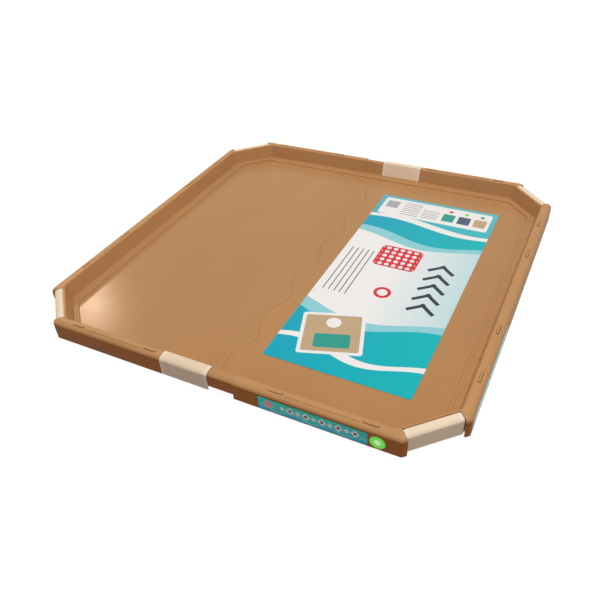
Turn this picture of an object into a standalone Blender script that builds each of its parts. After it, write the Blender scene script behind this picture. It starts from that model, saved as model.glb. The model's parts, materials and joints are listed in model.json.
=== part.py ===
"""Training pad holder: a shallow square pan with a rim frame that clamps the pad's edges.

The pan comes in two halves that meet along a wavy seam, and so does the rim frame, for shipping.
A frame half drops over the wall of its pan half, where snap tabs pass through slots in the rim.
Hinged latches close the four cut corners, and two sliding clips wrap the rim beside the seam:
slid across it, each clip locks the left and the right half together.
The ground is z = 0, the front is towards -Y and the seam runs along Y. Lengths are in metres.
"""

import math

import bmesh
import bpy
from mathutils import Matrix

# Whole holder
SPAN = 0.600               # outer width and depth
CORNER_CUT = 0.058         # length that a corner's flat takes off each side
PLAN_ROUND = 0.004         # rounding of the eight upright edges
RIM_TOP = 0.028            # ground to the top of the rim
PLAY = 0.0003              # gap between pieces that seat on or slide past each other

# Pan
GROUND_GAP = 0.001         # height that the feet lift the pan
FLOOR_THICK = 0.0022       # floor of the pan
FLOOR_FILLET = 0.0012      # sloping foot of the upright wall
SKIRT_THICK = 0.0024       # outer skirt, and the upright wall inside it
WALL_INSET = 0.0070        # outer face to the upright wall, on a straight side
CORNER_WALL_INSET = 0.0072 # the same, behind a corner latch
SHOULDER_THICK = 0.0022    # shelf that joins the skirt to the upright wall
LIP_HEIGHT = 0.0022        # upright wall above the shoulder
TRACK_RISE = 0.0060        # how much higher the skirt's lower edge is where a clip slides

# Rim frame
FRAME_THICK = 0.0024       # wall of the frame all over
RIM_ROUND = 0.0045         # height of the rounding between the rim's top and its outer face
ROUND_WIDTH = 0.0085       # and its width
RIM_EDGE = 0.0010          # bevel between the rim's top and its inner wall
SKIRT_DROP = 0.0010        # straight outer face below the rounding
RIM_WIDTH = 0.0140         # top of the rim, on a straight side
CORNER_RIM_WIDTH = 0.0175  # top of the rim, on a corner
WALL_LEAN = 0.0065         # how far the inner wall leans out over the pad
FLANGE_RISE = 0.0032       # pan floor to the top of the flange, at the wall
FLANGE_FALL = 0.0008       # slope of the flange towards the pad
PAD_GAP = 0.0008           # room for the pad's edge below the flange
FLANGE_WIDTH = 0.0120      # flange on a straight side
CORNER_FLANGE = 0.0070     # flange across a corner
SEAM_GAP = 0.0003          # gap between the two halves

# Wavy seam of the pan
WAVE_LENGTH = 0.094        # crest to crest
WAVE_HEIGHT = 0.0075       # crest to the middle line
WAVE_CREST = -0.010        # y of the crest nearest the middle
WAVE_END = 0.016           # length over which the wave dies out, outside the flange
LAP_WIDTH = 0.008          # tongue of the left half below the right half
LAP_THICK = 0.0008         # the tongue's thickness
LAP_LIFT = 0.0002          # the tongue's underside above the pan's underside

# Snap tabs of the pan, in slots of the frame
TAB_LENGTH = 0.017
TAB_PROUD = 0.0010         # tab above the rim
TAB_CLIP_GAP = 0.0115      # clip at rest to the nearer tabs
TAB_END_FRONT = 0.038      # middle of the farther tabs to the side's end, on the front and the back
TAB_END_SIDE = 0.064       # the same, on the left and the right
SLOT_PLAY = 0.0005         # gap round a tab
GRIP_PROUD = 0.0006        # raised strip between two tabs
GRIP_WIDTH = 0.0045
GRIP_INSET = 0.0060        # outer face to the raised strip
GRIP_MARGIN = 0.004        # tab to the end of the raised strip

# Sliding clips
CLIP_LENGTH = 0.069
CLIP_PROUD = 0.0004        # clip outside the rim
TRACK_DEPTH = 0.0012       # sunk track that a clip slides in
CLIP_LIFT = 0.0008         # clip's outer leg above the pan's underside
CLIP_TOE = 0.0004          # clip's inner leg above the flange

# Corner latches
LATCH_END = 0.0071         # end of a corner's flat to the latch
LATCH_PLAY = 0.0004        # gap at each end of a latch
LATCH_THICK = 0.0023
LATCH_BEVEL = 0.0020       # bevel inside the latch's bend
LATCH_INSET = 0.0032       # corner's flat to the latch's outer face
LATCH_LIFT = 0.0032        # ground to the latch's lower edge
LATCH_TOE = 0.0006         # bevel of that edge
KNUCKLE_RADIUS = 0.0025
PIN_RADIUS = 0.0012
PIN_PLAY = 0.00015
PIN_REACH = 0.0020         # pin inside a web of the frame
WEB_THICK = 0.0032         # webs of the frame that hold the pin's ends
WEB_SETBACK = 0.0004       # web behind the end of the latch's notch
WEB_SINK = 0.0004          # skin of the rim left outside a web
WEB_RISE = 0.0010          # web's top edge inside the top of the rim

# Feet
FOOT_RADIUS = 0.009
FOOT_SINK = 0.0008         # pocket in the underside of the floor
FOOT_SHARE = 0.80          # of the half span, outer feet in x and all feet in y
FOOT_SEAM_SHARE = 0.16     # of the half span, feet beside the seam

# Labels
LABEL_THICK = 0.0003
LABEL_GAP = 0.0002         # glue line under a label
LABEL_SINK = 0.0005        # sunk panel for a label on the skirt
PANEL_MARGIN = 0.0005      # panel round its label
FLOOR_LABEL_X = 0.0290     # seam to the floor label
FLOOR_LABEL_SIDE = 0.0740  # floor label to the right outer face
FLOOR_LABEL_END = 0.0795   # floor label to the front and the back outer face
LABEL_LIFT = 0.0022        # ground to a strip label on the skirt
LABEL_DROP = 0.0010        # strip label to the top of the skirt
FRONT_LABEL_X = 0.0690     # seam to the front label
STICKER_INSET = 0.0003     # top of the front label to the top of the round sticker
STICKER_GAP = 0.0022       # front label to the round sticker
STICKER_END = 0.0179       # round sticker to the side's end
SIDE_LABEL_LENGTH = 0.166
SIDE_LABEL_END = 0.0110    # label on the right side to the side's front end

# Overruns and facets
OVERRUN = 0.001            # how far a cutting shape reaches past what it cuts
CORNER_STEPS = 3
ROUND_STEPS = 5
PIN_SIDES = 12
DISC_SIDES = 32
WAVE_POINTS = 91

# Heights and insets that follow
HALF = SPAN / 2
SIDE_END = HALF - CORNER_CUT
DIAGONAL = (SPAN - CORNER_CUT) / math.sqrt(2)
FLOOR_TOP = GROUND_GAP + FLOOR_THICK
SKIRT_Z = RIM_TOP - RIM_ROUND - SKIRT_DROP
SHOULDER_TOP = SKIRT_Z - PLAY
LIP_TOP = SHOULDER_TOP + LIP_HEIGHT
FLANGE_TOP = FLOOR_TOP + FLANGE_RISE
FLANGE_UNDER = FLOOR_TOP + PAD_GAP
LATCH_LENGTH = math.sqrt(2) * CORNER_CUT - 2 * LATCH_END
LATCH_ROOM = LATCH_LENGTH / 2 + LATCH_PLAY
KNUCKLE_INSET = CORNER_RIM_WIDTH - FRAME_THICK - KNUCKLE_RADIUS
KNUCKLE_Z = RIM_TOP - KNUCKLE_RADIUS
PIN_HALF = LATCH_ROOM + PIN_REACH
CLIP_START = -SEAM_GAP - CLIP_LENGTH
TAB_NEAR = CLIP_LENGTH + TAB_CLIP_GAP + TAB_LENGTH / 2
LABEL_HEIGHT = SHOULDER_TOP - LABEL_DROP - LABEL_LIFT
STICKER_RADIUS = LABEL_HEIGHT / 2 - STICKER_INSET
FRONT_LABEL_END = SIDE_END - STICKER_END - 2 * STICKER_RADIUS - STICKER_GAP
SIDE_LABEL_Y = SIDE_LABEL_END + SIDE_LABEL_LENGTH / 2 - SIDE_END

FRONT, RIGHT, BACK, LEFT = -90, 0, 90, 180
SIDES = {"front": FRONT, "right": RIGHT, "back": BACK, "left": LEFT}
CORNERS = {"front_right": -45, "back_right": 45, "back_left": 135, "front_left": 225}
TAB_END = {"front": TAB_END_FRONT, "right": TAB_END_SIDE, "back": TAB_END_FRONT, "left": TAB_END_SIDE}
TAB_FAR = {side: SIDE_END - end for side, end in TAB_END.items()}

TAN_PLASTIC = ("tan_plastic", (0.475, 0.270, 0.120), 0.42)
PALE_PLASTIC = ("pale_plastic", (0.780, 0.640, 0.500), 0.45)
PIN_PLASTIC = ("pin_plastic", (0.300, 0.170, 0.080), 0.40)
FOOT_RUBBER = ("foot_rubber", (0.060, 0.050, 0.045), 0.80)
CARD = ("printed_card", (0.180, 0.620, 0.700), 0.35)
STRIP = ("printed_strip", (0.070, 0.420, 0.370), 0.35)
GREEN_FILM = ("green_film", (0.200, 0.780, 0.150), 0.30)


def start_empty():
    """Remove whatever the file holds."""
    for old in list(bpy.data.objects):
        bpy.data.objects.remove(old)


def finish(piece_tint, piece):
    """Give a piece its material."""
    name, colour, roughness = piece_tint
    material = bpy.data.materials.get(name) or bpy.data.materials.new(name)
    material.use_nodes = True
    shader = material.node_tree.nodes["Principled BSDF"]
    shader.inputs["Base Color"].default_value = (*colour, 1)
    shader.inputs["Roughness"].default_value = roughness
    shader.inputs["Metallic"].default_value = 0
    piece.data.materials.clear()
    piece.data.materials.append(material)
    return piece


def as_object(name, shape):
    """Close a bmesh into a mesh object with its faces pointing out."""
    bmesh.ops.recalc_face_normals(shape, faces=shape.faces)
    mesh = bpy.data.meshes.new(name)
    shape.to_mesh(mesh)
    shape.free()
    piece = bpy.data.objects.new(name, mesh)
    bpy.context.collection.objects.link(piece)
    return piece


def stacked(name, loops, ring):
    """Skin a stack of equal loops. A ring joins its last loop to its first; a slab is capped."""
    shape = bmesh.new()
    rows = [[shape.verts.new(point) for point in loop] for loop in loops]
    pairs = list(zip(rows, rows[1:]))
    if ring:
        pairs.append((rows[-1], rows[0]))
    for low, high in pairs:
        for i, corner in enumerate(low):
            j = (i + 1) % len(low)
            shape.faces.new((corner, low[j], high[j], high[i]))
    if not ring:
        shape.faces.new(reversed(rows[0]))
        shape.faces.new(rows[-1])
    return as_object(name, shape)


def swept(name, outline, start, end, place=Matrix()):
    """Extrude an outline, given across and up, along the third direction of its place."""
    loops = [[place @ Matrix.Translation((across, along, up)) for across, up in outline]
             for along in (start, end)]
    return stacked(name, [[step.translation for step in loop] for loop in loops], ring=False)


def block(name, across, along, up, place=Matrix()):
    """Box between two limits in each direction of its place."""
    corners = [(across[0], up[0]), (across[1], up[0]), (across[1], up[1]), (across[0], up[1])]
    return swept(name, corners, along[0], along[1], place)


def rod(name, radius, start, end, sides, place=Matrix()):
    """Round bar along the second direction of its place."""
    turns = [math.tau * k / sides for k in range(sides)]
    outline = [(radius * math.cos(turn), radius * math.sin(turn)) for turn in turns]
    return swept(name, outline, start, end, place)


def merged(name, pieces):
    """Put separate shapes into one object, for use as one tool."""
    shape = bmesh.new()
    for piece in pieces:
        shape.from_mesh(piece.data)
        bpy.data.objects.remove(piece)
    return as_object(name, shape)


def worked(piece, operation, tool):
    """Cut a tool out of a piece, join it on, or keep what both share. The tool is used up."""
    step = piece.modifiers.new(operation, "BOOLEAN")
    step.operation = operation
    step.object = tool
    bpy.context.view_layer.update()
    seen = piece.evaluated_get(bpy.context.evaluated_depsgraph_get())
    mesh = bpy.data.meshes.new_from_object(seen)
    piece.modifiers.clear()
    piece.data = mesh
    bpy.data.objects.remove(tool)
    return piece


def copied(piece, name):
    """Second object with its own copy of a piece's mesh."""
    twin = bpy.data.objects.new(name, piece.data.copy())
    bpy.context.collection.objects.link(twin)
    return twin


def side_place(side):
    """Place at a side: outwards from its outer face, then along it, then up."""
    return Matrix.Rotation(math.radians(SIDES[side]), 4, "Z") @ Matrix.Translation((HALF, 0, 0))


def corner_place(corner):
    """Place at a corner: outwards from its flat, then along it, then up."""
    turn = Matrix.Rotation(math.radians(CORNERS[corner]), 4, "Z")
    return turn @ Matrix.Translation((DIAGONAL, 0, 0))


def plan_loop(side_inset, corner_inset, z):
    """Eight-sided outline of the holder, set in from its sides and its corner flats."""
    reach = (HALF - side_inset - PLAN_ROUND, DIAGONAL - corner_inset - PLAN_ROUND)
    eighth = math.tau / 8
    points = []
    for k in range(8):
        near, far = reach[k % 2], reach[(k + 1) % 2]
        along = (far - near * math.cos(eighth)) / math.sin(eighth)
        face = eighth * k
        centre_x = near * math.cos(face) - along * math.sin(face)
        centre_y = near * math.sin(face) + along * math.cos(face)
        for step in range(CORNER_STEPS + 1):
            turn = face + eighth * step / CORNER_STEPS
            points.append((centre_x + PLAN_ROUND * math.cos(turn),
                           centre_y + PLAN_ROUND * math.sin(turn), z))
    return points


def lean_inset(z, depth, rim_width):
    """Inset of the frame's inner wall at a height, measured some depth below its skin."""
    drop = RIM_TOP - FLANGE_TOP
    slant = math.hypot(drop, WALL_LEAN)
    return rim_width + (RIM_TOP - z) * WALL_LEAN / drop - depth * slant / drop


def round_points(depth):
    """Rounding of the rim, some depth below its skin, as insets from the outer face and heights."""
    points = []
    for step in range(ROUND_STEPS + 1):
        turn = math.radians(90) * step / ROUND_STEPS
        out, up = math.cos(turn) / ROUND_WIDTH, math.sin(turn) / RIM_ROUND
        size = math.hypot(out, up)
        points.append((ROUND_WIDTH * (1 - math.cos(turn)) + depth * out / size,
                       RIM_TOP - RIM_ROUND * (1 - math.sin(turn)) - depth * up / size))
    return points


def pan_blank():
    """Whole pan: a floor, an upright wall, and a skirt outside it under a narrow shoulder."""
    inner, corner_inner = WALL_INSET + SKIRT_THICK, CORNER_WALL_INSET + SKIRT_THICK
    under_edge = FLOOR_FILLET / 2
    shelf = SHOULDER_TOP - SHOULDER_THICK
    levels = [
        (WALL_INSET + under_edge, CORNER_WALL_INSET + under_edge, GROUND_GAP),
        (WALL_INSET, CORNER_WALL_INSET, GROUND_GAP + under_edge),
        (WALL_INSET, CORNER_WALL_INSET, shelf),
        (SKIRT_THICK, SKIRT_THICK, shelf),
        (SKIRT_THICK, SKIRT_THICK, GROUND_GAP),
        (0, 0, GROUND_GAP),
        (0, 0, SHOULDER_TOP),
        (WALL_INSET, CORNER_WALL_INSET, SHOULDER_TOP),
        (WALL_INSET, CORNER_WALL_INSET, LIP_TOP),
        (inner, corner_inner, LIP_TOP),
        (inner, corner_inner, FLOOR_TOP + FLOOR_FILLET),
        (inner + FLOOR_FILLET, corner_inner + FLOOR_FILLET, FLOOR_TOP),
    ]
    return stacked("pan", [plan_loop(*level) for level in levels], ring=False)


def frame_blank():
    """Whole rim frame: skirt, round edge, top, leaning inner wall and flange, hollow below."""
    widths = (RIM_WIDTH, CORNER_RIM_WIDTH)
    levels = [(0, 0, SKIRT_Z)]
    levels.extend((inset, inset, z) for inset, z in round_points(0))
    levels.append((*(width - RIM_EDGE for width in widths), RIM_TOP))
    for z in (RIM_TOP - RIM_EDGE, FLANGE_TOP):
        levels.append((*(lean_inset(z, 0, width) for width in widths), z))
    edges = (RIM_WIDTH + WALL_LEAN + FLANGE_WIDTH, CORNER_RIM_WIDTH + WALL_LEAN + CORNER_FLANGE)
    levels.append((*edges, FLANGE_TOP - FLANGE_FALL))
    levels.append((*edges, FLANGE_UNDER))
    for z in (FLANGE_UNDER, RIM_TOP - FRAME_THICK):
        levels.append((*(lean_inset(z, FRAME_THICK, width) for width in widths), z))
    levels.append((ROUND_WIDTH, ROUND_WIDTH, RIM_TOP - FRAME_THICK))
    levels.append((FRAME_THICK, FRAME_THICK, RIM_TOP - RIM_ROUND))
    levels.append((FRAME_THICK, FRAME_THICK, SKIRT_Z))
    return stacked("frame", [plan_loop(*level) for level in levels], ring=True)


def wrap_path(depth, outer_z, inner_z):
    """Line over the rim's section, some depth below its skin, from outside to inside."""
    path = [(-depth, outer_z)]
    path.extend((-inset, z) for inset, z in round_points(depth))
    path.append((-lean_inset(RIM_TOP - depth, depth, RIM_WIDTH), RIM_TOP - depth))
    path.append((-lean_inset(inner_z, depth, RIM_WIDTH), inner_z))
    return path


def track_tool(side):
    """Cut for the track of a clip, from its place at rest to across the seam.

    It raises the skirt's lower edge too, and sinks the skirt and the rim above it.
    """
    behind_skirt = -(SKIRT_THICK + WALL_INSET) / 2
    edge, toe = GROUND_GAP + TRACK_RISE, FLANGE_TOP + CLIP_TOE - PLAY
    outline = [(behind_skirt, -OVERRUN), (behind_skirt, edge)]
    outline += wrap_path(TRACK_DEPTH, edge, toe) + wrap_path(-OVERRUN, -OVERRUN, toe)[::-1]
    return swept("track", outline, CLIP_START - PLAY, CLIP_LENGTH / 2 + PLAY, side_place(side))


def tab_places():
    """Side and middle of every snap tab."""
    for side in SIDES:
        for reach in (-TAB_FAR[side], -TAB_NEAR, TAB_NEAR, TAB_FAR[side]):
            yield side, reach


def tab_block(side, middle, play, low, high):
    """Block as long as a snap tab and as thick as the pan's upright wall, with play round it."""
    across = (-WALL_INSET - SKIRT_THICK - play, -WALL_INSET + play)
    along = (middle - TAB_LENGTH / 2 - play, middle + TAB_LENGTH / 2 + play)
    return block("tab", across, along, (low, high), side_place(side))


def grip_block(side, way):
    """Raised strip on the rim between the nearer and the farther tab of one end of a side."""
    ends = (TAB_NEAR + TAB_LENGTH / 2 + GRIP_MARGIN, TAB_FAR[side] - TAB_LENGTH / 2 - GRIP_MARGIN)
    along = sorted(way * end for end in ends)
    across = (-GRIP_INSET - GRIP_WIDTH, -GRIP_INSET)
    up = (RIM_TOP - FRAME_THICK / 2, RIM_TOP + GRIP_PROUD)
    return block("grip", across, along, up, side_place(side))


def latch_pocket(corner):
    """Cut through the pan's skirt and shoulder, and slightly into its wall, where a latch hangs."""
    across = (-CORNER_WALL_INSET - PLAY, OVERRUN)
    along = (-LATCH_ROOM, LATCH_ROOM)
    return block("pocket", across, along, (-OVERRUN, RIM_TOP), corner_place(corner))


def lip_trim(corner):
    """Cut that lowers the pan's upright wall below a latch's knuckle and the frame's webs."""
    across = (-CORNER_WALL_INSET - SKIRT_THICK - OVERRUN, OVERRUN)
    reach = LATCH_ROOM + WEB_THICK + LATCH_PLAY
    return block("trim", across, (-reach, reach), (SKIRT_Z, RIM_TOP), corner_place(corner))


def latch_notch(corner):
    """Cut through the top of the rim where a latch lies."""
    across = (FRAME_THICK - CORNER_RIM_WIDTH - PLAY, OVERRUN)
    along = (-LATCH_ROOM, LATCH_ROOM)
    up = (SHOULDER_TOP, RIM_TOP + OVERRUN)
    return block("notch", across, along, up, corner_place(corner))


def latch_web(corner, way):
    """Web across the rim's hollow that holds one end of a latch pin."""
    along = sorted(way * end for end in (LATCH_ROOM + WEB_SETBACK, LATCH_ROOM + WEB_THICK))
    near, far = -WEB_SINK, WEB_SINK - CORNER_RIM_WIDTH
    low, high = SKIRT_Z + PLAY, RIM_TOP - WEB_RISE
    outline = [(far, low), (near, low), (near, RIM_TOP - RIM_ROUND), (-ROUND_WIDTH, high), (far, high)]
    return swept("web", outline, *along, corner_place(corner))


def pin_hole(corner):
    """Bore for a latch pin through both webs of a corner."""
    reach = PIN_HALF + PLAY
    place = corner_place(corner) @ Matrix.Translation((-KNUCKLE_INSET, 0, KNUCKLE_Z))
    return rod("bore", PIN_RADIUS + PIN_PLAY, -reach, reach, PIN_SIDES, place)


def foot_places(way):
    """Middles of the four feet under one half of the pan."""
    for x_share in (FOOT_SEAM_SHARE, FOOT_SHARE):
        for y_way in (-1, 1):
            yield way * x_share * HALF, y_way * FOOT_SHARE * HALF


def disc(name, x, y, radius, low, high):
    """Upright disc on the ground plan."""
    lay = Matrix.Translation((x, y, 0)) @ Matrix.Rotation(math.radians(90), 4, "X")
    return rod(name, radius, low, high, DISC_SIDES, lay)


def foot_pockets():
    """Cuts in the underside of the floor for all feet."""
    discs = [disc("pocket", x, y, FOOT_RADIUS + PLAY, 0, GROUND_GAP + FOOT_SINK)
             for way in (-1, 1) for x, y in foot_places(way)]
    return merged("pockets", discs)


def seam_x(y):
    """Middle line of the pan's seam: a wave that dies out before it reaches the walls."""
    calm = RIM_WIDTH
    fade = min(max((HALF - calm - abs(y)) / WAVE_END, 0), 1)
    return WAVE_HEIGHT * fade * math.cos(math.tau * (y - WAVE_CREST) / WAVE_LENGTH)


def seam_strip(name, left_edge, right_edge, reach, low, high):
    """Slab with edges that follow the seam, or run straight where an edge is past the pan."""
    shape = bmesh.new()
    rows = []
    for step in range(WAVE_POINTS):
        y = reach * (2 * step / (WAVE_POINTS - 1) - 1)
        left, right = left_edge(y), right_edge(y)
        section = ((left, low), (right, low), (right, high), (left, high))
        rows.append([shape.verts.new((x, y, z)) for x, z in section])
    for near, far in zip(rows, rows[1:]):
        for i in range(4):
            j = (i + 1) % 4
            shape.faces.new((near[i], near[j], far[j], far[i]))
    shape.faces.new(rows[0][::-1])
    shape.faces.new(rows[-1])
    return as_object(name, shape)


def half_slab(way):
    """Slab over all of one side of the pan's seam."""
    def seam_edge(y):
        return seam_x(y) + way * SEAM_GAP / 2

    def far_edge(_y):
        return way * (HALF + OVERRUN)

    edges = (seam_edge, far_edge) if way > 0 else (far_edge, seam_edge)
    return seam_strip("half", *edges, HALF + OVERRUN, -OVERRUN, RIM_TOP + TAB_PROUD + OVERRUN)


def lap_slab(play):
    """Tongue along the seam, with play over it and in front of it for the half that it enters."""
    def root_edge(y):
        return seam_x(y) - LAP_WIDTH / 2

    def tip_edge(y):
        return seam_x(y) + LAP_WIDTH + play

    reach = HALF - RIM_WIDTH - WAVE_END + play
    low = -OVERRUN if play else GROUND_GAP + LAP_LIFT
    return seam_strip("lap", root_edge, tip_edge, reach, low, GROUND_GAP + LAP_LIFT + LAP_THICK + play)


def panel_tool(side, start, end):
    """Cut for the sunk panel under a strip label."""
    across = (-LABEL_SINK, OVERRUN)
    along = (start - PANEL_MARGIN, end + PANEL_MARGIN)
    up = (LABEL_LIFT - PANEL_MARGIN, LABEL_LIFT + LABEL_HEIGHT + PANEL_MARGIN)
    return block("panel", across, along, up, side_place(side))


def side_label_span():
    """Front and back end of the label on the right side."""
    return SIDE_LABEL_Y - SIDE_LABEL_LENGTH / 2, SIDE_LABEL_Y + SIDE_LABEL_LENGTH / 2


def make_pan_halves():
    """Left and right pan half, the left one with a tongue under the right one."""
    pan = pan_blank()
    tabs = [tab_block(side, reach, 0, LIP_TOP - LIP_HEIGHT / 2, RIM_TOP + TAB_PROUD)
            for side, reach in tab_places()]
    worked(pan, "UNION", merged("tabs", tabs))
    worked(pan, "DIFFERENCE", merged("trims", [lip_trim(corner) for corner in CORNERS]))
    worked(pan, "DIFFERENCE", merged("notches", [latch_pocket(corner) for corner in CORNERS]))
    worked(pan, "DIFFERENCE", merged("tracks", [track_tool("front"), track_tool("back")]))
    panels = [panel_tool("front", FRONT_LABEL_X, SIDE_END - STICKER_END),
              panel_tool("right", *side_label_span())]
    worked(pan, "DIFFERENCE", merged("panels", panels))
    worked(pan, "DIFFERENCE", foot_pockets())
    left, right = copied(pan, "left_tray"), copied(pan, "right_tray")
    bpy.data.objects.remove(pan)
    worked(left, "INTERSECT", half_slab(-1))
    worked(left, "UNION", lap_slab(0))
    worked(right, "INTERSECT", half_slab(1))
    worked(right, "DIFFERENCE", lap_slab(PLAY))
    return finish(TAN_PLASTIC, left), finish(TAN_PLASTIC, right)


def make_frame_halves():
    """Left and right half of the rim frame."""
    frame = frame_blank()
    worked(frame, "DIFFERENCE", merged("notches", [latch_notch(corner) for corner in CORNERS]))
    webs = [latch_web(corner, way) for corner in CORNERS for way in (-1, 1)]
    worked(frame, "UNION", merged("webs", webs))
    worked(frame, "DIFFERENCE", merged("bores", [pin_hole(corner) for corner in CORNERS]))
    grips = [grip_block(side, way) for side in SIDES for way in (-1, 1)]
    worked(frame, "UNION", merged("grips", grips))
    slots = [tab_block(side, reach, SLOT_PLAY, SHOULDER_TOP, RIM_TOP + OVERRUN)
             for side, reach in tab_places()]
    worked(frame, "DIFFERENCE", merged("slots", slots))
    worked(frame, "DIFFERENCE", merged("tracks", [track_tool("front"), track_tool("back")]))
    halves = []
    for name, way in (("left_frame", -1), ("right_frame", 1)):
        half = copied(frame, name)
        across = sorted((way * SEAM_GAP / 2, way * (HALF + OVERRUN)))
        along = (-HALF - OVERRUN, HALF + OVERRUN)
        worked(half, "INTERSECT", block("keep", across, along, (0, RIM_TOP + TAB_PROUD)))
        halves.append(finish(TAN_PLASTIC, half))
    bpy.data.objects.remove(frame)
    return halves


def make_clip(side, frame):
    """Clip that wraps the skirt, the rim and its inner wall beside the seam."""
    low, toe = GROUND_GAP + CLIP_LIFT, FLANGE_TOP + CLIP_TOE
    inside = wrap_path(TRACK_DEPTH - PLAY, low, toe)
    outside = wrap_path(-CLIP_PROUD, low, toe)
    clip = swept(f"{side}_clip", inside + outside[::-1], CLIP_START, -SEAM_GAP)
    clip.matrix_world = side_place(side)
    clip.parent = frame
    return finish(PALE_PLASTIC, clip)


def latch_outline():
    """Section of a latch round its pin: knuckle, top plate and hanging outer plate."""
    outer = KNUCKLE_INSET - LATCH_INSET
    under = KNUCKLE_RADIUS - LATCH_THICK
    low = LATCH_LIFT - KNUCKLE_Z
    start, end = math.radians(90), math.tau + math.asin(under / KNUCKLE_RADIUS)
    arc = [start + (end - start) * step / PIN_SIDES for step in range(PIN_SIDES + 1)]
    points = [(KNUCKLE_RADIUS * math.cos(turn), KNUCKLE_RADIUS * math.sin(turn)) for turn in arc]
    points.append((outer - LATCH_THICK - LATCH_BEVEL, under))
    points.append((outer - LATCH_THICK, under - LATCH_BEVEL))
    points.append((outer - LATCH_THICK, low))
    points.append((outer - LATCH_TOE, low))
    points.append((outer, low + LATCH_TOE))
    points.extend((outer - inset, z - KNUCKLE_Z) for inset, z in round_points(0))
    return points


def make_latch(corner, frame):
    """Corner latch with its origin on its pin, and the pin."""
    reach = LATCH_LENGTH / 2
    latch = swept(f"{corner}_latch", latch_outline(), -reach, reach)
    bore = rod("bore", PIN_RADIUS + PIN_PLAY, -reach - OVERRUN, reach + OVERRUN, PIN_SIDES)
    worked(latch, "DIFFERENCE", bore)
    pin = rod(f"{corner}_pin", PIN_RADIUS, -PIN_HALF, PIN_HALF, PIN_SIDES)
    place = corner_place(corner) @ Matrix.Translation((-KNUCKLE_INSET, 0, KNUCKLE_Z))
    for piece in (latch, pin):
        piece.matrix_world = place
        piece.parent = frame
    return finish(PALE_PLASTIC, latch), finish(PIN_PLASTIC, pin)


def make_feet(way, half):
    """Rubber feet under one half of the pan."""
    for (x, y), spot in zip(foot_places(way), ("front_inner", "back_inner", "front_outer", "back_outer")):
        name = f"{'left' if way < 0 else 'right'}_foot_{spot}"
        foot = disc(name, x, y, FOOT_RADIUS, 0, GROUND_GAP + FOOT_SINK - PLAY)
        foot.parent = half
        finish(FOOT_RUBBER, foot)


def make_labels(pan_half):
    """Card on the floor, strips on the front and right skirt, and a round sticker."""
    floor_up = (FLOOR_TOP + LABEL_GAP, FLOOR_TOP + LABEL_GAP + LABEL_THICK)
    floor_across = (FLOOR_LABEL_X, HALF - FLOOR_LABEL_SIDE)
    floor_along = (FLOOR_LABEL_END - HALF, HALF - FLOOR_LABEL_END)
    card = finish(CARD, block("floor_label", floor_across, floor_along, floor_up))
    across = (LABEL_GAP - LABEL_SINK, LABEL_GAP - LABEL_SINK + LABEL_THICK)
    up = (LABEL_LIFT, LABEL_LIFT + LABEL_HEIGHT)
    front_along = (FRONT_LABEL_X, FRONT_LABEL_END)
    front = finish(STRIP, block("front_label", across, front_along, up, side_place("front")))
    side = finish(STRIP, block("side_label", across, side_label_span(), up, side_place("right")))
    middle = SIDE_END - STICKER_END - STICKER_RADIUS
    lay = side_place("front") @ Matrix.Translation((0, middle, LABEL_LIFT + LABEL_HEIGHT / 2))
    lay = lay @ Matrix.Rotation(math.radians(-90), 4, "Z")
    sticker = finish(GREEN_FILM, rod("round_sticker", STICKER_RADIUS, *across, DISC_SIDES, lay))
    for label in (card, front, side, sticker):
        label.parent = pan_half


def shade(piece):
    """Smooth the round faces and keep the edges."""
    piece.data.shade_smooth()
    piece.data.set_sharp_from_angle(angle=math.radians(30))


def main():
    """Build the holder as it stands in use, with every latch closed."""
    start_empty()
    left_pan, right_pan = make_pan_halves()
    left_frame, right_frame = make_frame_halves()
    left_frame.parent = left_pan
    right_frame.parent = right_pan
    make_clip("front", left_frame)
    make_clip("back", right_frame)
    for corner in CORNERS:
        make_latch(corner, left_frame if "left" in corner else right_frame)
    make_feet(-1, left_pan)
    make_feet(1, right_pan)
    make_labels(right_pan)
    for piece in bpy.data.objects:
        shade(piece)


main()
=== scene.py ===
"""Looks of the training pad holder: softened mouldings, finishes, printed labels, stage and camera.

The pan halves, rim frame halves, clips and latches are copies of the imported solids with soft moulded
edges. The pins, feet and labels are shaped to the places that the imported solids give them.
Lengths are in metres, the ground is z = 0 and the front is towards -Y.
"""

import json
import math

import bpy
from bpy.props import FloatProperty, FloatVectorProperty, PointerProperty
from bpy.types import NodeSocket, Operator, Panel, PropertyGroup
from mathutils import Matrix, Vector


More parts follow.
